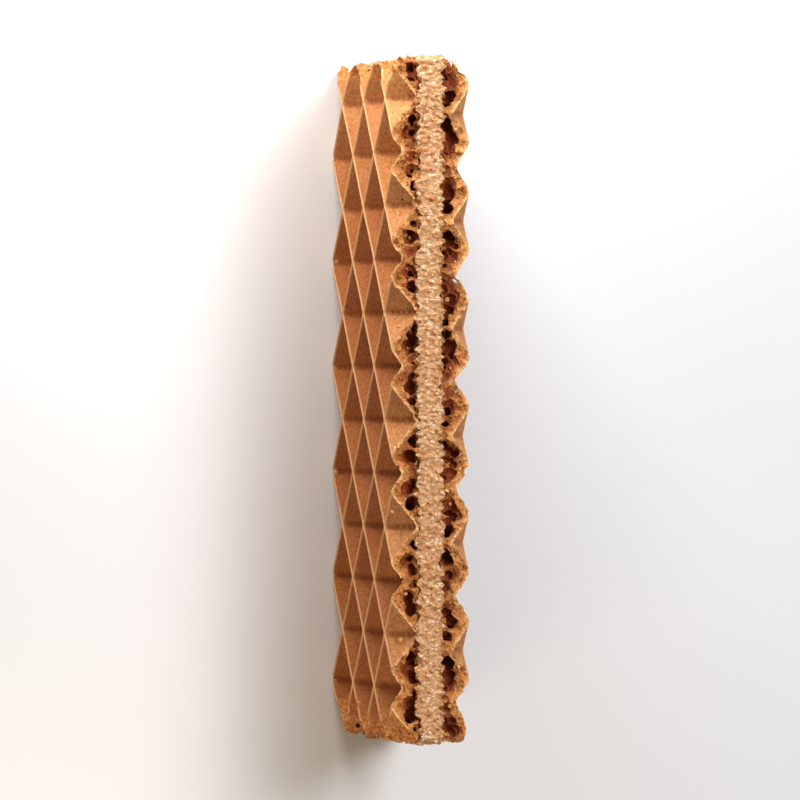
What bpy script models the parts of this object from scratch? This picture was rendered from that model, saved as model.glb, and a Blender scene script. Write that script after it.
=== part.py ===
"""Waffle cookie: two lattice wafers with a layer of crumbly cream between them.

Metres, +Z up. The cookie stands on one of its long cut edges: X runs along its length, Y through
its layers and Z up its height. The origin is under its middle, on the surface that it stands on.
"""

import math
import random

import bmesh
import bpy
from mathutils import Euler, Matrix, Vector

OBJECT_NAME = "waffle_cookie"

# The whole cookie. The wafers' four narrow sides are cuts through their crumb.
LENGTH = 0.095
HEIGHT = 0.0395
THICKNESS = 0.0110
CREAM_THICKNESS = 0.0032
LAYER_GAP = 0.0003
INNER_FACE_Y = CREAM_THICKNESS / 2 + LAYER_GAP  # of a wafer, the face towards the cream
WAFER_THICKNESS = THICKNESS / 2 - INNER_FACE_Y
TOP_CORNER_RADIUS = 0.0010
LEFT_FOOT_RADIUS = 0.0022  # the lower corner at the -X end
RIGHT_FOOT_RADIUS = 0.0060  # the lower corner at the +X end, more crumbled away
CORNER_SEGMENTS = 4
# Each corner's radius, its end of X, and its share of the height
CORNERS = (
    (TOP_CORNER_RADIUS, -1, 1), (TOP_CORNER_RADIUS, 1, 1),
    (LEFT_FOOT_RADIUS, -1, 0), (RIGHT_FOOT_RADIUS, 1, 0),
)
MATCH = 1e-5  # how near a point counts as being at a corner

# The lattice pressed into the outer faces: four-sided pits standing on a corner, a little longer
# than they are high, with ridges between.
PITCH = 0.0148  # from pit to pit along X
HALF_PITCH = PITCH / 2
ROW_SPACING = 0.0070  # from one row of pits to the next along Z, where the rows are staggered
ROW_SQUEEZE = ROW_SPACING / HALF_PITCH  # how much lower a pit is than it is long
WEB_THICKNESS = 0.00035  # what a pit leaves of the wafer
PIT_DEPTH = WAFER_THICKNESS - WEB_THICKNESS
RIDGE_HALF_WIDTH = 0.00018  # of a ridge's flat crest, along X
CREST_DEPTH = 0.00030  # how far the crest's rounded shoulder reaches down
CREST_WIDTH = 0.00022  # and how wide that shoulder is, along X
PIT_OVERSHOOT = 0.0002  # how far a pit's cutter stands out of the face
PIT_CORNERS = 4
# side: which way the face looks along Y. first_pit: X and Z of the top row's pit nearest the -X end.
# steepness: how deep the pit's wall goes for each unit along X.
FRONT = {"side": -1, "first_pit": (-0.0417, 0.0416), "steepness": 0.87}
BACK = {"side": 1, "first_pit": (-0.0395, 0.0425), "steepness": 0.72}

# Bubbles of the crumb, opened by the cuts
BUBBLE_RADII = (0.00122, 0.00098, 0.00074)
BUBBLE_TRIES = 420  # of each radius, on a whole wafer
BUBBLE_SQUASH = (0.78, 1.12)  # range of a bubble's three half-axes, in radii
BUBBLE_OPEN = (0.05, 0.60)  # range of its centre's depth under the cut, in radii
SKIN_THICKNESS = 0.00024  # baked skin that no bubble opens
INNER_SKIN_THICKNESS = 0.00012  # and the thinner one towards the cream
BUBBLE_WALL = 0.00012  # least crumb between two bubbles
BUBBLE_LIMIT = 50  # bubbles in one wafer
BALL_SUBDIVISIONS = 2

# Crumbs and hollows of the cream's broken sides
CREAM_INSET = 0.0003  # the cream's top and ends lie this far inside the wafers' cuts
CRUMB_RADIUS = (0.00055, 0.00095)
CRUMB_SQUASH = (0.80, 1.15)
CRUMB_SINK = (0.30, 0.60)  # how deep a crumb's centre lies in the cream, in radii
CRUMB_PROUD = 0.0004  # the most that a crumb stands out over the wafers' top
CRUMBS_ON_TOP = 28
CRUMBS_ON_END = 5
HOLLOWS_ON_LONG_SIDE = 5
HOLLOW_RADIUS = (0.00040, 0.00070)

WAFER_COLOUR = (0.55, 0.26, 0.10, 1.0)
WAFER_ROUGHNESS = 0.7
CREAM_COLOUR = (0.65, 0.38, 0.19, 1.0)
CREAM_ROUGHNESS = 0.85


def clear_scene():
    for scene_object in list(bpy.data.objects):
        bpy.data.objects.remove(scene_object, do_unlink=True)


def new_collection(name):
    collection = bpy.data.collections.new(name)
    bpy.context.scene.collection.children.link(collection)
    return collection


def make_material(name, colour, roughness):
    material = bpy.data.materials.new(name)
    material.use_nodes = True
    shader = material.node_tree.nodes["Principled BSDF"]
    shader.inputs["Base Color"].default_value = colour
    shader.inputs["Roughness"].default_value = roughness
    shader.inputs["Metallic"].default_value = 0.0
    return material


def object_from_bmesh(bm, name, collection):
    bmesh.ops.recalc_face_normals(bm, faces=bm.faces)
    mesh = bpy.data.meshes.new(name)
    bm.to_mesh(mesh)
    bm.free()
    made = bpy.data.objects.new(name, mesh)
    collection.objects.link(made)
    return made


def cut_away(target, cutter, solver="EXACT"):
    cutter.hide_render = True
    cutter.display_type = "WIRE"
    modifier = target.modifiers.new(cutter.name, "BOOLEAN")
    modifier.operation = "DIFFERENCE"
    modifier.solver = solver
    modifier.object = cutter


def fuse_collection(target, pieces):
    """Joins every object of a collection to the target as one body, and removes the collection."""
    modifier = target.modifiers.new(pieces.name, "BOOLEAN")
    modifier.operation = "UNION"
    modifier.solver = "MANIFOLD"  # the many small overlaps are beyond EXACT
    modifier.operand_type = "COLLECTION"
    modifier.collection = pieces
    evaluated = target.evaluated_get(bpy.context.evaluated_depsgraph_get())
    fused = bpy.data.meshes.new_from_object(evaluated)
    target.modifiers.remove(modifier)
    target.data = fused
    for piece in list(pieces.objects):
        bpy.data.objects.remove(piece, do_unlink=True)
    bpy.data.collections.remove(pieces)


def is_at_corner(edge, corner):
    """Whether an edge runs along Y at the X and Z of a corner."""
    return all((Vector((vert.co.x, vert.co.z)) - corner).length < MATCH for vert in edge.verts)


def add_slab(bm, length, depth, height, middle_y):
    """A block that stands on Z = 0, with its four corners rounded as the cookie's are."""
    size = Matrix.Diagonal((length, depth, height, 1.0))
    bmesh.ops.create_cube(bm, size=1.0, matrix=Matrix.Translation((0, middle_y, height / 2)) @ size)
    for radius, end, level in CORNERS:
        corner = Vector((end * length / 2, level * height))
        bmesh.ops.bevel(
            bm, geom=[edge for edge in bm.edges if is_at_corner(edge, corner)], offset=radius,
            offset_type="OFFSET", affect="EDGES", segments=CORNER_SEGMENTS, profile=0.5, material=-1,
        )


def pit_half_width(lattice, depth):
    """Half a pit's width along X at a depth under the ridges, down to its flat floor."""
    mouth = HALF_PITCH - RIDGE_HALF_WIDTH
    if depth <= CREST_DEPTH:
        return mouth - CREST_WIDTH * depth / CREST_DEPTH
    return mouth - CREST_WIDTH - (depth - CREST_DEPTH) / lattice["steepness"]


def pit_centres(lattice):
    """X and Z of each pit that reaches the wafer, row by row from the top."""
    first_x, z = lattice["first_pit"]
    staggered = False
    while z > -ROW_SPACING:
        x = first_x + (HALF_PITCH if staggered else 0.0)
        x -= PITCH * math.floor((x + LENGTH / 2 + HALF_PITCH) / PITCH)
        while x < LENGTH / 2 + HALF_PITCH:
            yield x, z
            x += PITCH
        z -= ROW_SPACING
        staggered = not staggered


def add_pit_cutter(bm, lattice, x, z):
    """A four-sided plug, narrow at the pit's floor and wide at its mouth."""
    depths = (PIT_DEPTH, CREST_DEPTH, 0.0)
    turn = Matrix.Rotation(math.radians(90), 4, "X")
    floor = bmesh.ops.create_circle(
        bm, cap_ends=True, segments=PIT_CORNERS, radius=pit_half_width(lattice, PIT_DEPTH), matrix=turn,
    )
    ring = floor["verts"]
    face = ring[0].link_faces[0]
    for vert in ring:
        vert.co.z *= ROW_SQUEEZE
        vert.co += Vector((x, lattice["side"] * (INNER_FACE_Y + WEB_THICKNESS), z))
    for start, end in zip(depths, (*depths[1:], -PIT_OVERSHOOT)):
        grown = bmesh.ops.extrude_face_region(bm, geom=[face, *face.edges])
        face = next(item for item in grown["geom"] if isinstance(item, bmesh.types.BMFace))
        scale = pit_half_width(lattice, max(end, 0.0)) / pit_half_width(lattice, start)
        for vert in face.verts:
            vert.co.x = x + (vert.co.x - x) * scale
            vert.co.z = z + (vert.co.z - z) * scale
            vert.co.y += lattice["side"] * (start - end)


def crumb_depth(lattice, x, z):
    """How thick the wafer is at a point of its face."""
    nearest = min(abs(x - pit_x) + abs(z - pit_z) / ROW_SQUEEZE for pit_x, pit_z in pit_centres(lattice))
    floor_half = pit_half_width(lattice, PIT_DEPTH)
    risen = (nearest - floor_half) * lattice["steepness"]
    return min(WAFER_THICKNESS, WEB_THICKNESS + max(0.0, risen))


def add_ball(bm, centre, radius, squash, draw):
    """A lumpy ball: an icosphere with three unlike half-axes, turned at random."""
    turn = Euler([draw.uniform(0, math.pi) for _ in range(3)]).to_matrix().to_4x4()
    half_axes = Matrix.Diagonal([draw.uniform(*squash) for _ in range(3)] + [1.0])
    place = Matrix.Translation(centre) @ turn @ half_axes
    bmesh.ops.create_icosphere(bm, subdivisions=BALL_SUBDIVISIONS, radius=radius, matrix=place)


def draw_spot_on_cuts(draw, radius):
    """X and Z of a bubble that one of the four cuts opens, each cut drawn as often as it is long."""
    under = radius * draw.uniform(*BUBBLE_OPEN)
    if draw.random() < LENGTH / (LENGTH + HEIGHT):
        x = draw.uniform(-LENGTH / 2, LENGTH / 2)
        return x, draw.choice((HEIGHT - under, under))
    z = draw.uniform(0.0, HEIGHT)
    return draw.choice((-1, 1)) * (LENGTH / 2 - under), z


def in_corner(x, z):
    """Whether a point lies in the square that a rounded corner takes off the sides."""
    return any(
        abs(x - end * LENGTH / 2) < radius and abs(z - level * HEIGHT) < radius
        for radius, end, level in CORNERS
    )


def crumb_bubbles(lattice, draw):
    """Centres and radii of the bubbles, the largest first, clear of the skin and of each other."""
    found = []
    reach = BUBBLE_SQUASH[1]
    wall_cosine = 1 / math.sqrt(1 + lattice["steepness"] ** 2 * (1 + 1 / ROW_SQUEEZE ** 2))
    for radius in BUBBLE_RADII:
        for _ in range(BUBBLE_TRIES):
            x, z = draw_spot_on_cuts(draw, radius)
            lowest = INNER_SKIN_THICKNESS + radius * reach
            highest = crumb_depth(lattice, x, z) - (SKIN_THICKNESS + radius * reach) / wall_cosine
            if in_corner(x, z) or highest < lowest or len(found) == BUBBLE_LIMIT:
                continue
            y = lattice["side"] * (INNER_FACE_Y + draw.uniform(lowest, highest))
            centre = Vector((x, y, z))
            if all((centre - other).length > (radius + size) * reach + BUBBLE_WALL for other, size in found):
                found.append((centre, radius))
    return found


def make_wafer(name, lattice, material, parts, cutters):
    bm = bmesh.new()
    middle_y = lattice["side"] * (INNER_FACE_Y + WAFER_THICKNESS / 2)
    add_slab(bm, LENGTH, WAFER_THICKNESS, HEIGHT, middle_y)
    wafer = object_from_bmesh(bm, name, parts)
    wafer.data.materials.append(material)

    bm = bmesh.new()
    for x, z in pit_centres(lattice):
        add_pit_cutter(bm, lattice, x, z)
    pits = object_from_bmesh(bm, name + "_pits", cutters)

    bm = bmesh.new()
    draw = random.Random(name)
    for centre, radius in crumb_bubbles(lattice, draw):
        add_ball(bm, centre, radius, BUBBLE_SQUASH, draw)
    bubbles = object_from_bmesh(bm, name + "_bubbles", cutters)

    cut_away(wafer, pits)
    cut_away(wafer, bubbles, solver="MANIFOLD")  # EXACT leaves edges open where bubbles meet the cuts


def cream_crumbs(draw):
    """Centres and radii of the crumbs on the cream's top and on its two ends."""
    half_length = LENGTH / 2 - CREAM_INSET
    top = HEIGHT - CREAM_INSET
    half_depth = CREAM_THICKNESS / 2
    for index in range(CRUMBS_ON_TOP):
        radius = draw.uniform(*CRUMB_RADIUS)
        share = (index + draw.uniform(0.25, 0.75)) / CRUMBS_ON_TOP
        x = (2 * share - 1) * (half_length - TOP_CORNER_RADIUS - radius)
        y_room = half_depth - radius * CRUMB_SQUASH[1]
        z = top - radius * draw.uniform(*CRUMB_SINK)
        z = min(z, HEIGHT + CRUMB_PROUD - radius * CRUMB_SQUASH[1])
        yield Vector((x, draw.uniform(-y_room, y_room), z)), radius
    for end in (-1, 1):
        for index in range(CRUMBS_ON_END):
            radius = draw.uniform(*CRUMB_RADIUS)
            share = (index + draw.uniform(0.25, 0.75)) / CRUMBS_ON_END
            lowest = (LEFT_FOOT_RADIUS if end < 0 else RIGHT_FOOT_RADIUS) + radius
            z = lowest + share * (HEIGHT - TOP_CORNER_RADIUS - radius - lowest)
            y_room = half_depth - radius * CRUMB_SQUASH[1]
            x = min(half_length - radius * draw.uniform(*CRUMB_SINK), LENGTH / 2 - radius * CRUMB_SQUASH[1])
            yield Vector((end * x, draw.uniform(-y_room, y_room), z)), radius


def make_cream(name, material, parts, cutters):
    bm = bmesh.new()
    add_slab(bm, LENGTH - 2 * CREAM_INSET, CREAM_THICKNESS, HEIGHT - CREAM_INSET, 0.0)
    cream = object_from_bmesh(bm, name, parts)
    cream.data.materials.append(material)

    draw = random.Random(name)
    crumbs = new_collection(name + "_crumbs")
    for centre, radius in cream_crumbs(draw):
        bm = bmesh.new()
        add_ball(bm, centre, radius, CRUMB_SQUASH, draw)
        object_from_bmesh(bm, name + "_crumb", crumbs)
    fuse_collection(cream, crumbs)

    bm = bmesh.new()
    for index in range(HOLLOWS_ON_LONG_SIDE):
        for z in (0.0, HEIGHT - CREAM_INSET):
            radius = draw.uniform(*HOLLOW_RADIUS)
            share = (index + draw.uniform(0.30, 0.70)) / HOLLOWS_ON_LONG_SIDE
            x = (2 * share - 1) * (LENGTH / 2 - RIGHT_FOOT_RADIUS - 2 * radius)
            y_room = CREAM_THICKNESS / 2 - 2 * radius
            add_ball(bm, Vector((x, draw.uniform(-y_room, y_room), z)), radius, CRUMB_SQUASH, draw)
    hollows = object_from_bmesh(bm, name + "_hollows", cutters)
    cut_away(cream, hollows, solver="MANIFOLD")


def main():
    clear_scene()
    parts = new_collection(OBJECT_NAME)
    cutters = new_collection("cutters")
    wafer_material = make_material("baked_wafer", WAFER_COLOUR, WAFER_ROUGHNESS)
    cream_material = make_material("cream_filling", CREAM_COLOUR, CREAM_ROUGHNESS)
    make_wafer("wafer_front", FRONT, wafer_material, parts, cutters)
    make_cream("cream", cream_material, parts, cutters)
    make_wafer("wafer_back", BACK, wafer_material, parts, cutters)


main()
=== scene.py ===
import math
import random

import bmesh
import bpy
import numpy as np
from mathutils import Euler, Matrix, Vector, noise
from mathutils.bvhtree import BVHTree


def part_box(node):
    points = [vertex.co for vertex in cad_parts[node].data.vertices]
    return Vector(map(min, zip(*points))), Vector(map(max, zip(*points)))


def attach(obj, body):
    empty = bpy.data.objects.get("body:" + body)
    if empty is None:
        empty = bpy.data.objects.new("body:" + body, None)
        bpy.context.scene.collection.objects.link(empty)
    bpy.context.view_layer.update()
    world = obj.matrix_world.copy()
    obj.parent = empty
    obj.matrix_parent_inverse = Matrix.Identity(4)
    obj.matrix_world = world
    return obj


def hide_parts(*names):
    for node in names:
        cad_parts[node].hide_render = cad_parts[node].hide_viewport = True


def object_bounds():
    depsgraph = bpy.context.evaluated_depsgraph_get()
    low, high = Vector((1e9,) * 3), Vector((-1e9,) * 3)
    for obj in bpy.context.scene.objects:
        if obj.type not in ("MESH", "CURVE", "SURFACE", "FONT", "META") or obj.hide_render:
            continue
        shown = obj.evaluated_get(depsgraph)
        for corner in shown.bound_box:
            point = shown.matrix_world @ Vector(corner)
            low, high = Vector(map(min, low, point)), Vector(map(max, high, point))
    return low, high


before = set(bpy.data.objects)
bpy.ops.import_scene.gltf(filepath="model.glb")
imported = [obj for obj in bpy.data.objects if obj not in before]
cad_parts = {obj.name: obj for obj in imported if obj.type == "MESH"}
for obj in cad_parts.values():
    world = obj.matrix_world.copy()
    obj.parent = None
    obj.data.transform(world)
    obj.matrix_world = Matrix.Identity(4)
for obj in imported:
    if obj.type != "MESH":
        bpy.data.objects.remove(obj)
cadLow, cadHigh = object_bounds()
frontLow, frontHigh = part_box("wafer_front")
creamLow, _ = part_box("cream")
mm = 0.001
print("frame loaded")

cookie = {
    "halfLength": frontHigh.x,
    "height": frontHigh.z,
    "innerFace": -creamLow.y,  # how far from the middle a wafer meets the cream
    "outerFace": -frontLow.y,
    "topCorner": 1.0 * mm,  # radii of the corners that wear round
    "leftFoot": 2.2 * mm,
    "rightFoot": 6.0 * mm,
}

# The lattice of each wafer. side is the way its face looks along Y.
frontLattice = {"side": -1, "pit": (-41.7 * mm, 41.6 * mm), "steepness": 0.87, "seed": 11}
backLattice = {"side": 1, "pit": (-39.5 * mm, 42.5 * mm), "steepness": 0.72, "seed": 23}
lattice = {
    "pitch": 14.8 * mm,  # from pit to pit along the length
    "rows": 7.0 * mm,  # from one row of pits to the next up the height
    "web": 0.35 * mm,  # wafer left under a pit
    "crest": 0.20 * mm,  # radius of the ridges
    "cutCrest": 0.55 * mm,  # and where they meet the cuts
    "crease": 0.45 * mm,  # rounding where two pit walls meet
    "floor": 0.28 * mm,  # rounding round the pit's floor
    "cells": 21,  # mesh cells from ridge to ridge
    "crowding": 1.6,  # how much the cells crowd towards the ridges
    "warp": (9 * mm, 0.07 * mm),  # size and height of its slow waves
    "grain": (0.9 * mm, 0.02 * mm),
}


def softMax(a, b, k):
    return np.maximum(a, b) + np.maximum(k - np.abs(a - b), 0.0) ** 2 / (4 * k)


def softMin(a, b, k):
    return -softMax(-a, -b, k)


def ease(low, high, value):
    t = np.clip((value - low) / (high - low), 0.0, 1.0)
    return t * t * (3 - 2 * t)


def noiseAt(points, size, seed=0.0):
    offset = Vector((seed * 17.3, seed * 5.1, seed * 9.7))
    return np.array([noise.noise(Vector(p) / size + offset) for p in points])


# The closed line round the cookie's four cut sides


def rimLine():
    half, top = cookie["halfLength"], cookie["height"]
    a, b, c = cookie["topCorner"], cookie["leftFoot"], cookie["rightFoot"]
    corners = [
        (half - a, top - a, a, 90),
        (half - c, c, c, 0),
        (b - half, b, b, -90),
        (a - half, top - a, a, -180),
    ]
    x, z, angle = [], [], []
    for cx, cz, radius, start in corners:
        for step in np.linspace(0, 90, 25):
            turned = math.radians(start - step)
            x.append(cx + radius * math.cos(turned))
            z.append(cz + radius * math.sin(turned))
            angle.append(turned)
    x = np.array(x + x[:1])
    z = np.array(z + z[:1])
    angle = np.array(angle + [angle[0] - 2 * math.pi])
    run = np.concatenate([[0], np.cumsum(np.hypot(np.diff(x), np.diff(z)))])
    return run, x, z, angle


rim = rimLine()
rimLength = rim[0][-1]


def alongRim(s):
    run, x, z, angle = rim
    s = np.mod(s, rimLength)
    turned = np.interp(s, run, angle)
    return np.interp(s, run, x), np.interp(s, run, z), np.cos(turned), np.sin(turned)


def depthUnderRim(x, z):  # how far a point lies inside the four cut sides
    half, top = cookie["halfLength"], cookie["height"]
    low = np.where(x < 0, cookie["leftFoot"], cookie["rightFoot"])
    radius = np.where(z > top / 2, cookie["topCorner"], low)
    qx = np.abs(x) - half + radius
    qz = np.abs(z - top / 2) - top / 2 + radius
    return -(np.minimum(np.maximum(qx, qz), 0) + np.hypot(np.maximum(qx, 0), np.maximum(qz, 0)) - radius)


def depthUnderEnd(x, z):  # how far a point lies inside the nearer end, and how much it belongs to it
    radius = np.where(x < 0, cookie["leftFoot"], cookie["rightFoot"])
    qx = np.abs(x) - cookie["halfLength"] + radius
    qz = np.maximum(radius - z, 0)
    away = np.hypot(np.maximum(qx, 0), qz)
    share = np.where(qz > 0, ease(0.1, 0.6, np.maximum(qx, 0) / np.maximum(away, 1e-9)), 1.0)
    return np.where(qx > 0, radius - away, radius - qx), share


def wallPlace(part, x, z):  # how far across a pit's two pairs of walls, from the pit's middle
    spacing = lattice["pitch"] / math.sqrt(2)
    dx = x - part["pit"][0]
    dz = (z - part["pit"][1]) * lattice["pitch"] / 2 / lattice["rows"]
    u, v = (dx + dz) / math.sqrt(2), (dx - dz) / math.sqrt(2)
    return np.abs(u - spacing * np.round(u / spacing)), np.abs(v - spacing * np.round(v / spacing))


def waferThickness(part, x, z):  # from the inner face to the lattice, at each x and z
    full = cookie["outerFace"] - cookie["innerFace"]
    spacing = lattice["pitch"] / math.sqrt(2)
    u, v = wallPlace(part, x, z)
    fromRidge = np.maximum(spacing / 2 - softMax(u, v, lattice["crease"]), 0.0)
    steep = part["steepness"] * math.sqrt(2)
    nearCut = 1 - ease(0.0, 1.6 * mm, depthUnderRim(x, z))
    crest = lattice["crest"] + (lattice["cutCrest"] - lattice["crest"]) * nearCut
    drop = np.sqrt((steep * fromRidge) ** 2 + crest**2) - crest
    return full - softMin(drop, full - lattice["web"] + 0 * drop, lattice["floor"])


def newPiece(name, bm):
    bm.normal_update()
    bmesh.ops.recalc_face_normals(bm, faces=bm.faces)
    mesh = bpy.data.meshes.new(name)
    bm.to_mesh(mesh)
    bm.free()
    piece = bpy.data.objects.new(name, mesh)
    bpy.context.scene.collection.objects.link(piece)
    return piece


def meshPoints(mesh):
    points = np.zeros(len(mesh.vertices) * 3, np.float32)
    mesh.vertices.foreach_get("co", points)
    return points.reshape(-1, 3).astype(float)


def setMeshPoints(mesh, points):
    mesh.vertices.foreach_set("co", points.astype(np.float32).ravel())
    mesh.update()


def addAttribute(mesh, name, values):
    attribute = mesh.attributes.new(name, "FLOAT", "POINT")
    attribute.data.foreach_set("value", np.asarray(values, np.float32))


def smoothShade(mesh, degrees):
    mesh.shade_smooth()
    mesh.set_sharp_from_angle(angle=math.radians(degrees))


def ringGrid(around, across):  # a grid from -1 to 1, joined into a ring at its two ends
    bm = bmesh.new()
    bmesh.ops.create_grid(bm, x_segments=around, y_segments=across, size=1.0)
    start = {round(v.co.y, 5): v for v in bm.verts if v.co.x < -0.99999}
    end = [v for v in bm.verts if v.co.x > 0.99999]
    bmesh.ops.weld_verts(bm, targetmap={v: start[round(v.co.y, 5)] for v in end})
    return bm


def capOpenEnds(bm):
    edges = [e for e in bm.edges if e.is_boundary]
    bmesh.ops.holes_fill(bm, edges=edges, sides=0)


def bake(piece, cutters):  # applies the piece's modifiers and clears their cutters away
    evaluated = piece.evaluated_get(bpy.context.evaluated_depsgraph_get())
    mesh = bpy.data.meshes.new_from_object(evaluated)
    piece.modifiers.clear()
    piece.data = mesh
    for cutter in cutters:
        bpy.data.objects.remove(cutter, do_unlink=True)
    return mesh


def keepLargest(mesh):  # drops the scraps, sealed bubbles and flat fins that the cutting leaves
    bm = bmesh.new()
    bm.from_mesh(mesh)
    bmesh.ops.dissolve_degenerate(bm, dist=0.001 * mm, edges=bm.edges)
    bmesh.ops.triangulate(bm, faces=bm.faces)
    parts, seen = [], set()
    for start in bm.faces:
        if start in seen:
            continue
        seen.add(start)
        reached = [start]
        for face in reached:
            for edge in face.edges:
                if len(edge.link_faces) != 2:
                    continue
                for other in edge.link_faces:
                    if other not in seen:
                        seen.add(other)
                        reached.append(other)
        parts.append(reached)
    parts.sort(key=len)
    scraps = [face for part in parts[:-1] for face in part]
    bmesh.ops.delete(bm, geom=scraps, context="FACES")
    capOpenEnds(bm)
    bmesh.ops.triangulate(bm, faces=bm.faces)
    bm.to_mesh(mesh)
    bm.free()


def solidWith(piece, other, operation):
    change = piece.modifiers.new(other.name, "BOOLEAN")
    change.operation = operation
    change.solver = "MANIFOLD"
    change.object = other


torn = {
    "left": 4.8 * mm,  # how far the skin is crumbled off from each end
    "right": 5.6 * mm,
    "foot": 5.0 * mm,  # further at the rounded lower corner
    "drop": 0.40 * mm,  # how far the crumbled edge sinks
    "lumps": (0.80 * mm, 0.42 * mm),  # size and height of the lumps that are left
}


def tornAt(part, points):  # 1 at the crumbled ends, 0 on sound skin
    x, z = points[:, 0], points[:, 2]
    depth, share = depthUnderEnd(x, z)
    foot = (x > 0) * (1 - ease(2 * mm, 12 * mm, z))
    reach = np.where(x < 0, torn["left"], torn["right"] + torn["foot"] * foot)
    reach *= 0.8 + 0.9 * noiseAt(points, 2.2 * mm, part["seed"] + 6)
    return share * (1 - ease(0.25, 1.0, depth / np.maximum(reach, 0.3 * mm)))


def latticeBlock(part):  # a block larger than the wafer, with the pits in its outer face
    spacing = lattice["pitch"] / math.sqrt(2)
    reach = 5  # whole ridges each way from the middle pit
    cells = (2 * reach + 1) * lattice["cells"]
    bm = bmesh.new()
    bmesh.ops.create_grid(bm, x_segments=cells, y_segments=cells, size=1.0)
    at = np.array([v.co[:2] for v in bm.verts])
    place = (at + 1) / 2 * (2 * reach + 1)
    cell = np.minimum(np.floor(place + 1e-6), 2 * reach)
    across = 2 * (place - cell) - 1
    crowded = np.sign(across) * (1 - np.maximum(1 - np.abs(across), 0) ** lattice["crowding"])
    uv = (cell - reach) * spacing + crowded * spacing / 2
    middleX = part["pit"][0] + lattice["pitch"] * round(-part["pit"][0] / lattice["pitch"])
    squeeze = 2 * lattice["rows"] / lattice["pitch"]
    rowPairs = round((part["pit"][1] - cookie["height"] / 2) / lattice["rows"] / 2)
    middleZ = part["pit"][1] - 2 * lattice["rows"] * rowPairs
    x = middleX + (uv[:, 0] + uv[:, 1]) / math.sqrt(2)
    z = middleZ + (uv[:, 0] - uv[:, 1]) / math.sqrt(2) * squeeze
    thick = waferThickness(part, x, z)
    points = np.stack([x, 0 * x, z], 1)
    thick += lattice["warp"][1] * noiseAt(points, lattice["warp"][0], part["seed"])
    thick += lattice["grain"][1] * noiseAt(points, lattice["grain"][0], part["seed"] + 1)
    lumps = torn["lumps"][1] * noiseAt(points, torn["lumps"][0], part["seed"] + 7)
    thick -= tornAt(part, points) * (torn["drop"] + lumps)
    thick = np.maximum(thick, lattice["web"] * 0.8)
    inner = cookie["innerFace"]
    for vert, px, pz, t in zip(bm.verts, x, z, thick):
        vert.co = (px, part["side"] * (inner + t), pz)
    edges = [e for e in bm.edges if e.is_boundary]
    grown = bmesh.ops.extrude_edge_only(bm, edges=edges)
    for item in grown["geom"]:
        if isinstance(item, bmesh.types.BMVert):
            item.co.y = part["side"] * inner
    capOpenEnds(bm)
    return bm


strip = {
    "step": 0.27 * mm,
    "spare": 0.4 * mm,  # how far the plate reaches past the wafer's two faces
    "grain": (0.62 * mm, 0.24 * mm),  # size and height
    "wave": (5 * mm, 0.10 * mm),
}


def cutSides(part):  # a rounded plate whose edge is the wafer's four cut sides, a little uneven
    low, high = -strip["spare"], cookie["outerFace"] - cookie["innerFace"] + strip["spare"]
    around, across = int(rimLength / strip["step"]), int((high - low) / strip["step"])
    bm = ringGrid(around, across)
    at = np.array([v.co[:2] for v in bm.verts])
    x, z, nx, nz = alongRim((at[:, 0] + 1) / 2 * rimLength)
    w = low + (at[:, 1] + 1) / 2 * (high - low)
    y = part["side"] * (w + cookie["innerFace"])
    points = np.stack([x, y, z], 1)
    lift = strip["grain"][1] * (noiseAt(points, strip["grain"][0], part["seed"] + 2) - 0.7)
    lift += strip["wave"][1] * (noiseAt(points, strip["wave"][0], part["seed"] + 3) - 0.6)
    for vert, px, py, pz, ax, az, up in zip(bm.verts, x, y, z, nx, nz, lift):
        vert.co = (px + ax * up, py, pz + az * up)
    capOpenEnds(bm)
    return bm


foam = {
    "radii": [1.25, 1.1, 0.95, 0.8, 0.65, 0.5, 0.38, 0.28, 0.2],  # mm
    "tries": [1600, 1600, 1600, 1600, 1400, 1400, 1600, 2000, 2400],
    "skin": 0.15 * mm,  # baked skin left whole
    "innerSkin": -0.45 * mm,  # below nought: bubbles open towards the cream
    "squash": (0.78, 1.22),
    "open": (0.1, 0.50),  # range of a bubble's depth under the cut, in radii
    "deeper": 0.30,  # share of the bubbles that lie a layer further in
    "layer": (0.9, 2.2),  # mm, how much further
    "clear": 1.10,  # room that a bubble needs, in its own radius
    "bite": 0.72,  # how far a bubble may eat into a larger one, in its own radius
    "cave": 0.72,  # bubbles of this size, in mm, and over have another one behind them
    "caveSize": (0.75, 0.95),  # its size and place, in the front one's radius
    "caveInward": (0.9, 1.3),
    "caveAside": (-0.5, 0.5),
    "lumps": 0.32,
    "limit": 800,
}


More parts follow.
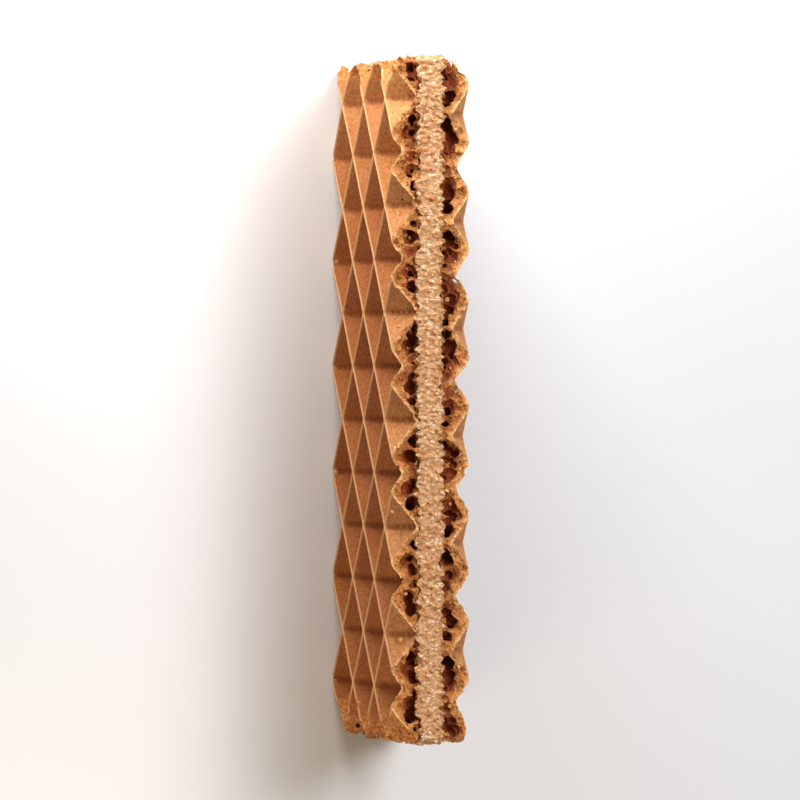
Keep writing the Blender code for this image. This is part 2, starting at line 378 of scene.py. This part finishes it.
def foamBubbles(part, draw):
    centres, radii = np.zeros((0, 3)), np.zeros(0)
    wallCosine = 1 / math.sqrt(1 + 2 * part["steepness"] ** 2)

    def room(x, z, radius):  # lowest and highest place of a bubble's middle across the wafer
        radius = foam["clear"] * radius
        return foam["innerSkin"] + radius, waferThickness(part, x, z) - (foam["skin"] + radius) / wallCosine

    def layerBelow():
        return draw.uniform(*foam["layer"]) * mm * (draw.random() < foam["deeper"])

    for size, tries in zip(foam["radii"], foam["tries"]):
        radius = size * mm
        s = np.array([draw.random() for _ in range(tries)]) * rimLength
        under = radius * np.array([draw.uniform(*foam["open"]) for _ in range(tries)])
        under += np.array([layerBelow() for _ in range(tries)])
        share = np.array([draw.random() for _ in range(tries)])
        x, z, nx, nz = alongRim(s)
        x, z = x - nx * under, z - nz * under
        low, high = room(x, z, radius)
        for i in np.nonzero(high > low)[0]:
            y = part["side"] * (low + share[i] * (high[i] - low) + cookie["innerFace"])
            centre = np.array([x[i], y, z[i]])
            clear = np.linalg.norm(centres - centre, axis=1) - radii
            if len(radii) >= foam["limit"] or (len(radii) and clear.min() < radius * (1 - foam["bite"])):
                continue
            centres, radii = np.vstack([centres, centre]), np.append(radii, radius)
            if size < foam["cave"]:
                continue
            behind = radius * draw.uniform(*foam["caveSize"])
            inward = radius * draw.uniform(*foam["caveInward"])
            aside = radius * draw.uniform(*foam["caveAside"])
            bx = x[i] - nx[i] * inward - nz[i] * aside
            bz = z[i] - nz[i] * inward + nx[i] * aside
            near, far = room(np.array([bx]), np.array([bz]), behind)
            if far[0] > near:
                across = min(max(abs(y) - cookie["innerFace"], near), far[0])
                y = part["side"] * (across + cookie["innerFace"])
                centres, radii = np.vstack([centres, (bx, y, bz)]), np.append(radii, behind)
    return centres, radii


def plainBall(detail, slot):  # a small round mesh that every lump is shaped from
    bm = bmesh.new()
    bmesh.ops.create_icosphere(bm, subdivisions=detail, radius=1.0)
    for face in bm.faces:
        face.material_index = slot
    mesh = bpy.data.meshes.new("ball")
    bm.to_mesh(mesh)
    bm.free()
    return mesh


def lumpyBall(bm, ball, centre, radius, squash, lumps, draw):
    turn = Euler([draw.uniform(0, math.pi) for _ in range(3)]).to_matrix()
    axes = Matrix.Diagonal([radius * draw.uniform(*squash) for _ in range(3)])
    offset = Vector([draw.uniform(0, 99) for _ in range(3)])
    first = len(bm.verts)
    bm.from_mesh(ball)
    bm.verts.ensure_lookup_table()
    for vert in bm.verts[first:]:
        swell = 1 + lumps * noise.noise(vert.co * 1.3 + offset)
        vert.co = Vector(centre) + turn @ (axes @ vert.co) * swell


def apartGroups(centres, reaches):  # groups in which no two balls touch
    groups = []
    for i in range(len(reaches)):
        for group in groups:
            near = np.linalg.norm(centres[group] - centres[i], axis=1) < (reaches[group] + reaches[i])
            if not near.any():
                group.append(i)
                break
        else:
            groups.append([i])
    return groups


finerFrom = (0.30 * mm, 0.85 * mm)  # radii over which a ball is made of more faces


def ballCutters(name, centres, radii, squash, lumps, slot, draw):
    made = []
    balls = [plainBall(detail, slot) for detail in (1, 2, 3)]
    for group in apartGroups(centres, radii * squash[1] * (1 + lumps)):
        bm = bmesh.new()
        for i in group:
            ball = balls[sum(radii[i] > limit for limit in finerFrom)]
            lumpyBall(bm, ball, centres[i], radii[i], squash, lumps, draw)
        made.append(newPiece(f"{name}{len(made)}", bm))
    return made


chips = {
    "count": 190,
    "radius": (0.32, 0.85),  # mm
    "longEdges": 0.10,  # share of the draws on the long edges that bite there too
    "leftReach": 1.3 * mm,  # how far the skin is worn off from each end
    "rightReach": 1.9 * mm,
    "footReach": 2.6 * mm,  # more at the rounded lower corner
    "edgeReach": 0.4 * mm,  # on the long edges
    "endFacing": 0.55,  # a rim that faces less than this along X is a long edge
}


def endChips(part, draw):  # small bites where the lattice has crumbled away at the two ends
    centres, radii = [], []
    while len(radii) < chips["count"]:
        x, z, nx, nz = alongRim(draw.random() * rimLength)
        longEdge = abs(nx) < chips["endFacing"]
        if longEdge and (nz < 0 or draw.random() > chips["longEdges"]):
            continue
        reach = chips["leftReach"] if nx < 0 else chips["rightReach"]
        if longEdge:
            reach = chips["edgeReach"]
        if nx > 0 and z < cookie["rightFoot"] * 1.5:
            reach += chips["footReach"]
        under = reach * draw.random() ** 2
        radius = draw.uniform(*chips["radius"]) * mm * (1 - 0.5 * under / reach)
        x, z = x - nx * under, z - nz * under
        t = waferThickness(part, np.array([x]), np.array([z]))[0] + radius * draw.uniform(-0.1, 0.5)
        centres.append((x, part["side"] * (cookie["innerFace"] + t), z))
        radii.append(radius)
    return np.array(centres), np.array(radii)


cutWear = {
    "recess": 0.62 * mm,  # the crumb lies this far under the skin's edge
    "grit": 0.26 * mm,
    "reach": 1.5 * mm,  # how deep the wear goes
    "skin": (0.10 * mm, 0.34 * mm),  # from the skin's outside to where the crumb is fully worn
    "sharp": 50.0,  # degrees
}


def wearCuts(mesh, part):  # sinks the crumb a little, so the skin's edge stands proud
    points = meshPoints(mesh)
    x, z = points[:, 0], points[:, 2]
    step = 0.05 * mm
    under = depthUnderRim(x, z)
    inwardX = (depthUnderRim(x + step, z) - depthUnderRim(x - step, z)) / (2 * step)
    inwardZ = (depthUnderRim(x, z + step) - depthUnderRim(x, z - step)) / (2 * step)
    below = waferThickness(part, x, z) - (part["side"] * points[:, 1] - cookie["innerFace"])
    fade = np.clip(1 - under / cutWear["reach"], 0.0, 1.2) ** 2
    worn = cutWear["recess"] * (0.75 + 1.7 * noiseAt(points, 1.3 * mm, part["seed"] + 4))
    worn += cutWear["grit"] * noiseAt(points, 0.45 * mm, part["seed"] + 8)
    worn *= fade * ease(*cutWear["skin"], below)
    points[:, 0] += inwardX * worn
    points[:, 2] += inwardZ * worn
    points[:, 2] = np.maximum(points[:, 2], 0.0)
    setMeshPoints(mesh, points)
    floor = lattice["web"]
    thick = waferThickness(part, x, z)
    across, along = wallPlace(part, x, z)
    addAttribute(mesh, "under", under / mm)
    addAttribute(mesh, "below", below / mm)
    addAttribute(mesh, "rise", (thick - floor) / (cookie["outerFace"] - cookie["innerFace"] - floor))
    fold = np.abs(across - along) / math.sqrt(2)  # from the crease between two walls
    addAttribute(mesh, "fold", fold / mm)
    addAttribute(mesh, "torn", tornAt(part, points))
    smoothShade(mesh, cutWear["sharp"])


def buildWafer(name, part):
    draw = random.Random(part["seed"])
    wafer = newPiece(name, latticeBlock(part))
    bm = cutSides(part)
    for face in bm.faces:
        face.material_index = 1
    plate = newPiece(name + "_plate", bm)
    solidWith(wafer, plate, "INTERSECT")
    centres, radii = foamBubbles(part, draw)
    chipCentres, chipRadii = endChips(part, draw)
    centres, radii = np.vstack([centres, chipCentres]), np.append(radii, chipRadii)
    cutters = ballCutters(name + "_foam", centres, radii, foam["squash"], foam["lumps"], 1, draw)
    for cutter in cutters:
        solidWith(wafer, cutter, "DIFFERENCE")
    mesh = bake(wafer, [plate, *cutters])
    keepLargest(mesh)
    wearCuts(mesh, part)
    print(name, len(radii), "bubbles in", len(cutters), "groups,", len(mesh.loop_triangles), "triangles")
    return wafer


frontWafer = buildWafer("front_wafer", frontLattice)
backWafer = buildWafer("back_wafer", backLattice)

cream = {
    "half": cookie["innerFace"] + 0.18 * mm,  # it grips the wafers a little
    "step": 0.16 * mm,
    "depth": 2.0 * mm,  # how far down its sides the cream is grainy
    "corner": 0.20 * mm,  # rounding of its long edges
    "proud": 0.16 * mm,
    "grain": (0.90 * mm, 0.42 * mm),  # size and height of the grains
    "fineGrain": (0.42 * mm, 0.15 * mm),
    "wander": (2.4 * mm, 0.45 * mm),  # how its edges swell and draw in
    "teeth": (0.75 * mm, 0.80 * mm),
    "stretch": 1.35,  # grains lie across the layer
    "clumps": 230,
    "clumpRadius": (0.30, 0.75),  # mm
    "clumpHeight": 0.55,  # how far a clump stands out, in its own radius
    "spurs": 60,
    "spurHeight": 1.5,
    "spurSize": 0.7,  # against a clump's radius
    "fromEdge": 0.55,  # mm, how far from the layer's edges most clumps stay
    "clumpUnder": (0.1, 0.8),  # depth of a clump's middle, in its own radius
    "fade": (0.7, 1.0),  # where the grain dies out, as a share of the depth
    "sharp": 70.0,  # degrees
}


def grainHeight(points, size):
    heights = []
    for p in points:
        q = Vector((p[0] * cream["stretch"], p[1], p[2] * cream["stretch"])) / size
        q += 0.35 * Vector([noise.noise(q * 1.7 + Vector((0, 0, shift))) for shift in (0, 31, 67)])
        distances, cells = noise.voronoi(q)
        tall = 0.65 + 0.35 * noise.cell(cells[0] * 7.3)
        heights.append(tall * (1 - min(distances[0] / 0.62, 1.0) ** 2))
    return np.array(heights)


def creamClumps(draw):  # places, sizes and heights of lumps along the cut, most of them by the edges
    centres, radii, heights = [], [], []
    for i in range(cream["clumps"] + cream["spurs"]):
        spur = i >= cream["clumps"]
        radius = draw.uniform(*cream["clumpRadius"]) * mm
        x, z, nx, nz = alongRim(draw.random() * rimLength)
        side = draw.choice([-1, 1])
        if spur:
            radius *= cream["spurSize"]
            y = side * cream["half"]
        else:
            y = side * (cream["half"] - abs(draw.gauss(0.0, cream["fromEdge"])) * mm)
        under = draw.uniform(*cream["clumpUnder"]) * radius
        centres.append((x - nx * under, y, z - nz * under))
        radii.append(radius)
        heights.append(radius * cream["spurHeight" if spur else "clumpHeight"])
    return centres, radii, heights


def clumpHeight(points, draw):
    lift = np.zeros(len(points))
    for centre, radius, height in zip(*creamClumps(draw)):
        near = np.linalg.norm(points - np.array(centre), axis=1) / radius
        lift = np.maximum(lift, height * np.clip(1 - near**2, 0, 1) ** 0.7)
    return lift


def creamBand(draw):  # a closed ring round the rim: up one side, over the cut edge, down the other
    half, corner = cream["half"], cream["corner"]
    flat = half - corner
    side = cream["depth"] - corner
    arc = corner * math.pi / 2
    across = 2 * (side + arc + flat)
    rows, around = int(across / cream["step"]), int(rimLength / cream["step"])
    bm = ringGrid(around, rows)
    at = np.array([v.co[:2] for v in bm.verts])
    q = at[:, 1] * across / 2
    beyond = np.abs(q) - flat
    turned = np.clip(beyond, 0, arc) / corner
    down = np.where(beyond > arc, beyond - arc + corner, corner * (1 - np.cos(turned)))
    y = np.sign(q) * np.where(beyond > 0, flat + corner * np.sin(turned), np.abs(q))
    outY = np.sign(q) * np.sin(turned)
    outRim = np.cos(turned)
    x, z, nx, nz = alongRim((at[:, 0] + 1) / 2 * rimLength)
    x, z = x - nx * (down - cream["proud"]), z - nz * (down - cream["proud"])
    points = np.stack([x, y, z], 1)
    lift = cream["grain"][1] * (grainHeight(points, cream["grain"][0]) - 0.75)
    lift += cream["fineGrain"][1] * (grainHeight(points + 9.0, cream["fineGrain"][0]) - 0.6)
    lumps = clumpHeight(points, draw)
    lift += lumps * (0.45 + 0.55 * np.abs(outY))
    sway = cream["wander"][1] * noiseAt(points, cream["wander"][0], 5)
    sway += cream["teeth"][1] * noiseAt(points, cream["teeth"][0], 6)
    sway *= ease(0.3, 1.0, np.abs(y) / half) * np.sign(y)
    grainy = 1 - ease(*cream["fade"], down / cream["depth"])
    lift *= grainy
    sway *= grainy
    points[:, 0] += nx * outRim * lift
    points[:, 2] += nz * outRim * lift
    points[:, 1] += outY * lift + sway
    points[:, 2] = np.maximum(points[:, 2], 0.0)
    for vert, place in zip(bm.verts, points):
        vert.co = place
    capOpenEnds(bm)
    return bm


def buildCream():
    piece = newPiece("cream_layer", creamBand(random.Random(37)))
    mesh = piece.data
    points = meshPoints(mesh)
    addAttribute(mesh, "under", depthUnderRim(points[:, 0], points[:, 2]) / mm)
    smoothShade(mesh, cream["sharp"])
    print("cream_layer", len(mesh.loop_triangles), "triangles")
    return piece


creamLayer = buildCream()

crumbs = {
    "count": 70,
    "radius": (0.14, 0.42),  # mm
    "sunk": 0.35,  # share of its radius that a crumb sits into what it lies on
    "upright": 0.50,  # least upward part of the surface's direction
    "endGap": 1.5 * mm,  # none lie this near the ends
    "sideGap": 0.6 * mm,
    "apart": 1.2 * mm,
    "squash": (0.7, 1.2),
    "lumps": 0.5,
    "sharp": 50.0,  # degrees
}


def buildCrumbs(pieces):  # crumbs that lie where the cookie is level enough to hold them
    draw = random.Random(53)
    surfaces = []
    for piece in pieces:
        bm = bmesh.new()
        bm.from_mesh(piece.data)
        surfaces.append(BVHTree.FromBMesh(bm))
        bm.free()
    ball = plainBall(1, 0)
    bm = bmesh.new()
    laid = []
    while len(laid) < crumbs["count"]:
        radius = crumbs["radius"][0] + (crumbs["radius"][1] - crumbs["radius"][0]) * draw.random() ** 2
        x = draw.uniform(-1, 1) * (cookie["halfLength"] - crumbs["endGap"])
        y = draw.uniform(-1, 1) * (cookie["outerFace"] - crumbs["sideGap"])
        above = Vector((x, y, cookie["height"] + 5 * mm))
        hits = [surface.ray_cast(above, Vector((0, 0, -1))) for surface in surfaces]
        hits = [hit for hit in hits if hit[0] is not None]
        if not hits:
            continue
        place, normal = max(hits, key=lambda hit: hit[0].z)[:2]
        crowded = any((place - other).length < crumbs["apart"] for other in laid)
        if abs(normal.z) < crumbs["upright"] or crowded:
            continue
        middle = place + normal * (1 - crumbs["sunk"]) * radius * mm
        lumpyBall(bm, ball, middle, radius * mm, crumbs["squash"], crumbs["lumps"], draw)
        laid.append(place)
    piece = newPiece("loose_crumbs", bm)
    smoothShade(piece.data, crumbs["sharp"])
    print("loose_crumbs", len(laid), "crumbs")
    return piece


looseCrumbs = buildCrumbs([frontWafer, backWafer, creamLayer])


# Finishes


def newMaterial(name):
    material = bpy.data.materials.new(name)
    material.use_nodes = True
    material.node_tree.nodes.clear()
    return material


def node(material, kind, inputs=None, **settings):
    made = material.node_tree.nodes.new("ShaderNode" + kind)
    for key, value in settings.items():
        setattr(made, key, value)
    for key, value in (inputs or {}).items():
        if isinstance(value, bpy.types.NodeSocket):
            material.node_tree.links.new(value, made.inputs[key])
        else:
            made.inputs[key].default_value = value
    return made


def maths(material, operation, a, b=0.0):
    return node(material, "Math", {0: a, 1: b}, operation=operation).outputs[0]


def spread(material, value, low, high, toLow=0.0, toHigh=1.0):
    inputs = {"Value": value, "From Min": low, "From Max": high, "To Min": toLow, "To Max": toHigh}
    return node(material, "MapRange", inputs).outputs["Result"]


def blendColour(material, share, a, b):
    made = node(material, "Mix", data_type="RGBA")
    for index, value in ((0, share), (6, a), (7, b)):
        if isinstance(value, bpy.types.NodeSocket):
            material.node_tree.links.new(value, made.inputs[index])
        else:
            made.inputs[index].default_value = value if index == 0 else (*value, 1.0)
    return made.outputs[2]


def cloud(material, where, size, detail=3.0, roughness=0.55):
    inputs = {"Vector": where, "Scale": 1 / size, "Detail": detail, "Roughness": roughness}
    return node(material, "TexNoise", inputs).outputs["Fac"]


def cells(material, where, size):
    return node(material, "TexVoronoi", {"Vector": where, "Scale": 1 / size})


def attribute(material, name):
    return node(material, "Attribute", attribute_name=name, attribute_type="GEOMETRY").outputs["Fac"]


def glowAndShine(weight, radius, scale, shine):  # light that passes under the surface, and the gloss on it
    return {
        "Subsurface Weight": weight,
        "Subsurface Radius": radius,
        "Subsurface Scale": scale,
        "Specular IOR Level": shine,
    }


def finishMaterial(material, colour, roughness, height, bump, deep, sockets):
    relief = node(material, "Bump", {"Height": height, "Strength": bump, "Distance": deep})
    inputs = {"Base Color": colour, "Roughness": roughness, "Normal": relief.outputs[0], **sockets}
    shader = node(material, "BsdfPrincipled", inputs)
    node(material, "OutputMaterial", {"Surface": shader.outputs[0]})
    return material


skinLook = {
    "pale": (0.54, 0.208, 0.062),
    # browner baked skin, also used as painted shade low on the wafer
    "baked": (0.30, 0.076, 0.016),
    "ridge": (0.80, 0.47, 0.225),
    # painted shade in the pit floors and along their creases
    "crease": (0.19, 0.040, 0.009),
    "fleck": (0.18, 0.050, 0.010),
    "light": (0.80, 0.425, 0.170),  # painted light: paler near the upper cut and at the -X end, where the key light falls
    "crumbs": (0.77, 0.385, 0.135),
    "gaps": (0.50, 0.155, 0.028),
}


def skinMaterial():
    m = newMaterial("baked_skin")
    where = node(m, "TexCoord").outputs["Object"]
    rise = attribute(m, "rise")
    along, _, high = node(m, "SeparateXYZ", {"Vector": where}).outputs
    patches = spread(m, cloud(m, where, 6 * mm, 4.0), 0.35, 0.68)
    mottle = spread(m, cloud(m, where, 0.50 * mm, 4.0, 0.7), 0.38, 0.62)
    fine = cloud(m, where, 0.22 * mm, 3.0, 0.6)
    colour = blendColour(m, maths(m, "MULTIPLY", patches, 0.65), skinLook["pale"], skinLook["baked"])
    # painted shade: the skin darkens towards the bottom, where less light reaches
    colour = blendColour(m, spread(m, high, 34 * mm, 22 * mm, 0.0, 0.45), colour, skinLook["baked"])
    # painted light: paler near the upper cut and towards the -X end, where the key light falls
    colour = blendColour(m, spread(m, high, 31 * mm, 38 * mm, 0.0, 0.42), colour, skinLook["light"])
    colour = blendColour(m, spread(m, along, -24 * mm, -46 * mm, 0.0, 0.50), colour, skinLook["light"])
    colour = blendColour(m, maths(m, "MULTIPLY", mottle, 0.60), colour, skinLook["baked"])
    colour = blendColour(m, spread(m, fine, 0.50, 0.72, 0.0, 0.30), colour, skinLook["ridge"])
    # painted shade: darker towards the pit floors
    colour = blendColour(m, spread(m, rise, 0.35, 0.0, 0.0, 0.55), colour, skinLook["crease"])
    # painted shade: a dark band along the crease where two pit walls meet
    fold = maths(m, "MULTIPLY", spread(m, attribute(m, "fold"), 0.62, 0.18), spread(m, rise, 0.93, 0.75))
    colour = blendColour(m, maths(m, "MULTIPLY", fold, 0.62), colour, skinLook["crease"])
    # paler along the crests: partly rubbed crests, partly a painted highlight
    colour = blendColour(m, spread(m, rise, 0.935, 0.975, 0.0, 0.85), colour, skinLook["ridge"])
    pores = cells(m, where, 1.1 * mm).outputs["Distance"]
    pore = spread(m, pores, 0.16, 0.06)
    colour = blendColour(m, maths(m, "MULTIPLY", pore, 0.55), colour, skinLook["fleck"])
    grains = cells(m, where, 0.55 * mm)
    ragged = maths(m, "ADD", grains.outputs["Distance"], maths(m, "MULTIPLY", fine, 0.5))
    grain = spread(m, ragged, 0.35, 0.90)
    rubble = blendColour(m, grain, skinLook["crumbs"], skinLook["gaps"])
    worn = maths(m, "MULTIPLY", spread(m, attribute(m, "torn"), 0.12, 0.45), 0.9)
    colour = blendColour(m, worn, colour, rubble)
    height = maths(m, "ADD", maths(m, "MULTIPLY", mottle, 0.5), maths(m, "MULTIPLY", fine, 0.5))
    height = maths(m, "SUBTRACT", height, pore)
    height = maths(m, "SUBTRACT", height, maths(m, "MULTIPLY", worn, maths(m, "MULTIPLY", grain, 2.2)))
    sockets = glowAndShine(0.10, (1.0, 0.4, 0.15), 0.4 * mm, 0.14)
    roughness = spread(m, mottle, 0.0, 1.0, 0.52, 0.72)
    return finishMaterial(m, colour, roughness, height, bump=0.5, deep=0.14 * mm, sockets=sockets)


crumbLook = {
    "edge": (0.90, 0.55, 0.240),
    "wall": (0.66, 0.262, 0.064),
    "brown": (0.42, 0.112, 0.020),
    "deep": (0.22, 0.030, 0.004),
}


def crumbMaterial():
    m = newMaterial("open_crumb")
    where = node(m, "TexCoord").outputs["Object"]
    under = attribute(m, "under")
    below = attribute(m, "below")
    patches = spread(m, cloud(m, where, 1.8 * mm, 4.0), 0.32, 0.68)
    grain = cloud(m, where, 0.30 * mm, 4.0, 0.65)
    colour = blendColour(m, patches, crumbLook["wall"], crumbLook["brown"])
    colour = blendColour(m, spread(m, grain, 0.45, 0.68, 0.0, 0.45), colour, crumbLook["edge"])
    # painted shade: the crumb darkens with depth under the cut, down into the cavities
    colour = blendColour(m, spread(m, under, 0.50, 1.35, 0.0, 0.93), colour, crumbLook["deep"])
    rind = maths(m, "MULTIPLY", spread(m, below, 0.58, 0.20), spread(m, under, 1.2, 0.4))
    rind = maths(m, "MULTIPLY", rind, spread(m, grain, 0.30, 0.55, 0.35, 1.0))
    pores = cells(m, where, 0.62 * mm).outputs["Distance"]
    pores = maths(m, "ADD", pores, maths(m, "MULTIPLY", grain, 0.5))
    pore = spread(m, pores, 0.56, 0.36)
    colour = blendColour(m, maths(m, "MULTIPLY", pore, 0.75), colour, crumbLook["deep"])
    colour = blendColour(m, maths(m, "MULTIPLY", rind, 0.8), colour, crumbLook["edge"])
    fine = cells(m, where, 0.26 * mm).outputs["Distance"]
    height = maths(m, "ADD", maths(m, "MULTIPLY", grain, 0.7), maths(m, "MULTIPLY", fine, 0.5))
    height = maths(m, "SUBTRACT", height, maths(m, "MULTIPLY", pore, 0.9))
    sockets = glowAndShine(0.25, (1.0, 0.3, 0.08), 0.7 * mm, 0.30)
    roughness = spread(m, grain, 0.35, 0.65, 0.26, 0.66)
    return finishMaterial(m, colour, roughness, height, bump=0.9, deep=0.30 * mm, sockets=sockets)


creamLook = {
    "pale": (0.83, 0.555, 0.310),
    "tan": (0.50, 0.210, 0.064),
    "sugarAndGlint": (0.95, 0.82, 0.60),
    "speck": (0.30, 0.095, 0.024),
    "deep": (0.34, 0.115, 0.028),
}


def creamMaterial():
    m = newMaterial("grainy_cream")
    place = node(m, "TexCoord").outputs["Object"]
    stretched = (cream["stretch"], 1.0, cream["stretch"])
    where = node(m, "VectorMath", {0: place, 1: stretched}, operation="MULTIPLY").outputs[0]
    warp = node(m, "TexNoise", {"Vector": where, "Scale": 1 / (0.9 * mm), "Detail": 2.0}).outputs["Color"]
    bent = node(m, "VectorMath", {0: warp, 1: (0.4 * mm,) * 3}, operation="MULTIPLY").outputs[0]
    bent = node(m, "VectorMath", {0: where, 1: bent}, operation="ADD").outputs[0]
    grains = cells(m, bent, 0.42 * mm)
    tint = node(m, "SeparateColor", {"Color": grains.outputs["Color"]})
    soft = cloud(m, where, 0.8 * mm, 4.0, 0.6)
    colour = blendColour(m, spread(m, soft, 0.30, 0.70), creamLook["tan"], creamLook["pale"])
    between = spread(m, grains.outputs["Distance"], 0.25, 0.68, 0.0, 0.75)
    colour = blendColour(m, between, colour, creamLook["tan"])
    # pale specks: partly sugar in the cream, partly painted glints
    colour = blendColour(m, spread(m, tint.outputs[0], 0.80, 0.97, 0.0, 0.6), colour, creamLook["sugarAndGlint"])
    colour = blendColour(m, spread(m, tint.outputs[1], 0.88, 0.97, 0.0, 0.85), colour, creamLook["speck"])
    under = attribute(m, "under")
    # painted shade: the cream darkens down its sides, under the cut and into the wafer's cavities
    colour = blendColour(m, spread(m, under, 0.20, 0.50, 0.0, 0.45), colour, creamLook["tan"])
    colour = blendColour(m, spread(m, under, 0.55, 1.30, 0.0, 0.85), colour, creamLook["deep"])
    fine = cloud(m, where, 0.18 * mm, 3.0, 0.6)
    height = maths(m, "MULTIPLY", grains.outputs["Distance"], -0.8)
    height = maths(m, "ADD", height, maths(m, "MULTIPLY", fine, 0.5))
    sockets = glowAndShine(0.2, (1.0, 0.6, 0.35), 0.5 * mm, 0.45)
    roughness = spread(m, fine, 0.35, 0.65, 0.35, 0.65)
    return finishMaterial(m, colour, roughness, height, bump=0.6, deep=0.22 * mm, sockets=sockets)


looseLook = {"pale": (0.84, 0.50, 0.21), "brown": (0.46, 0.150, 0.036)}


def looseMaterial():
    m = newMaterial("loose_crumb")
    where = node(m, "TexCoord").outputs["Object"]
    tone = spread(m, cloud(m, where, 1.6 * mm, 3.0), 0.35, 0.65)
    grain = cloud(m, where, 0.20 * mm, 3.0, 0.6)
    colour = blendColour(m, tone, looseLook["pale"], looseLook["brown"])
    colour = blendColour(m, spread(m, grain, 0.45, 0.70, 0.0, 0.5), colour, looseLook["brown"])
    roughness = spread(m, grain, 0.35, 0.65, 0.50, 0.75)
    sockets = {"Specular IOR Level": 0.2}
    return finishMaterial(m, colour, roughness, grain, bump=0.6, deep=0.12 * mm, sockets=sockets)


bakedSkin = skinMaterial()
openCrumb = crumbMaterial()
grainyCream = creamMaterial()
for piece, materials, cadNode, slot in (
    (frontWafer, (bakedSkin, openCrumb), "wafer_front", "baked_wafer"),
    (backWafer, (bakedSkin, openCrumb), "wafer_back", "baked_wafer"),
    (creamLayer, (grainyCream,), "cream", "cream_filling"),
):
    while len(piece.data.materials) < len(materials):
        piece.data.materials.append(None)
    for index, material in enumerate(materials):
        piece.data.materials[index] = material
    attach(piece, "root")
    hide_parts(cadNode)
looseCrumbs.data.materials.append(looseMaterial())
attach(looseCrumbs, "root")
print("finishes made")


# Floor, light and camera

studio = {
    "floor": (0.765, 0.785, 0.825),
    "world": 0.08,
    "white": (1.0, 1.0, 1.0),
    "warm": (1.0, 0.79, 0.56),  # the light that fills the shade
    "key": {"from": (-0.20, 0.20, 0.58), "at": (0, 0, 0.03), "size": 0.30, "power": 3.6},
    "fill": {"from": (0.04, -0.10, 0.70), "at": (0, 0, 0.03), "size": 0.45, "power": 0.5},
    "nearEnd": {"from": (-0.136, -0.038, 0.072), "at": (-0.045, 0, 0.02), "size": 0.05, "power": 0.17},
    "nearFace": {"from": (-0.066, -0.040, 0.045), "at": (-0.045, 0, 0.02), "size": 0.03, "power": 0.014},
    "farEnd": {"from": (0.095, -0.070, 0.055), "at": (0.045, 0, 0.02), "size": 0.04, "power": 0.030},
}
view = {"elevation": 77.6, "distance": 1.2, "field": 0.112, "sensor": 36.0}


def plainColour(name, colour, roughness):
    m = newMaterial(name)
    where = node(m, "TexCoord").outputs["Object"]
    tone = cloud(m, where, 0.4, 2.0)
    shade = blendColour(m, spread(m, tone, 0.3, 0.7), colour, [c * 0.985 for c in colour])
    shader = node(m, "BsdfPrincipled", {"Base Color": shade, "Roughness": roughness})
    node(m, "OutputMaterial", {"Surface": shader.outputs[0]})
    return m


def makeFloor():
    bm = bmesh.new()
    bmesh.ops.create_grid(bm, x_segments=1, y_segments=1, size=3.0)
    floor = newPiece("floor", bm)
    floor.data.materials.append(plainColour("pale_floor", studio["floor"], 0.7))


def makeLight(name, values, tint):
    lamp = bpy.data.lights.new(name, "AREA")
    lamp.color = tint
    lamp.size = values["size"]
    lamp.energy = values["power"]
    light = bpy.data.objects.new(name, lamp)
    light.location = values["from"]
    light.rotation_euler = (Vector(values["at"]) - light.location).to_track_quat("-Z", "Y").to_euler()
    light.visible_camera = False
    bpy.context.scene.collection.objects.link(light)


def makeWorld():
    world = bpy.data.worlds.new("soft_room")
    world.use_nodes = True
    world.node_tree.nodes["Background"].inputs["Color"].default_value = (*studio["warm"], 1.0)
    world.node_tree.nodes["Background"].inputs["Strength"].default_value = studio["world"]
    bpy.context.scene.world = world


def makeCamera():
    tilt = math.radians(view["elevation"])
    back = Vector((0.0, -math.cos(tilt), math.sin(tilt)))
    up = Vector((-1.0, 0.0, 0.0))
    right = up.cross(back)
    turn = Matrix((right, up, back)).transposed().to_4x4()
    lens = bpy.data.cameras.new("camera")
    lens.sensor_width = view["sensor"]
    lens.lens = view["sensor"] * view["distance"] / view["field"]
    camera = bpy.data.objects.new("camera", lens)
    centre = (cadLow + cadHigh) / 2
    camera.matrix_world = Matrix.Translation(centre + back * view["distance"]) @ turn
    bpy.context.scene.collection.objects.link(camera)
    bpy.context.scene.camera = camera


makeFloor()
for name in ("key", "nearEnd"):
    makeLight(name, studio[name], studio["white"])
for name in ("fill", "nearFace", "farEnd"):
    makeLight(name, studio[name], studio["warm"])
makeWorld()
makeCamera()
bpy.context.scene.view_settings.view_transform = "Standard"
print("studio ready")
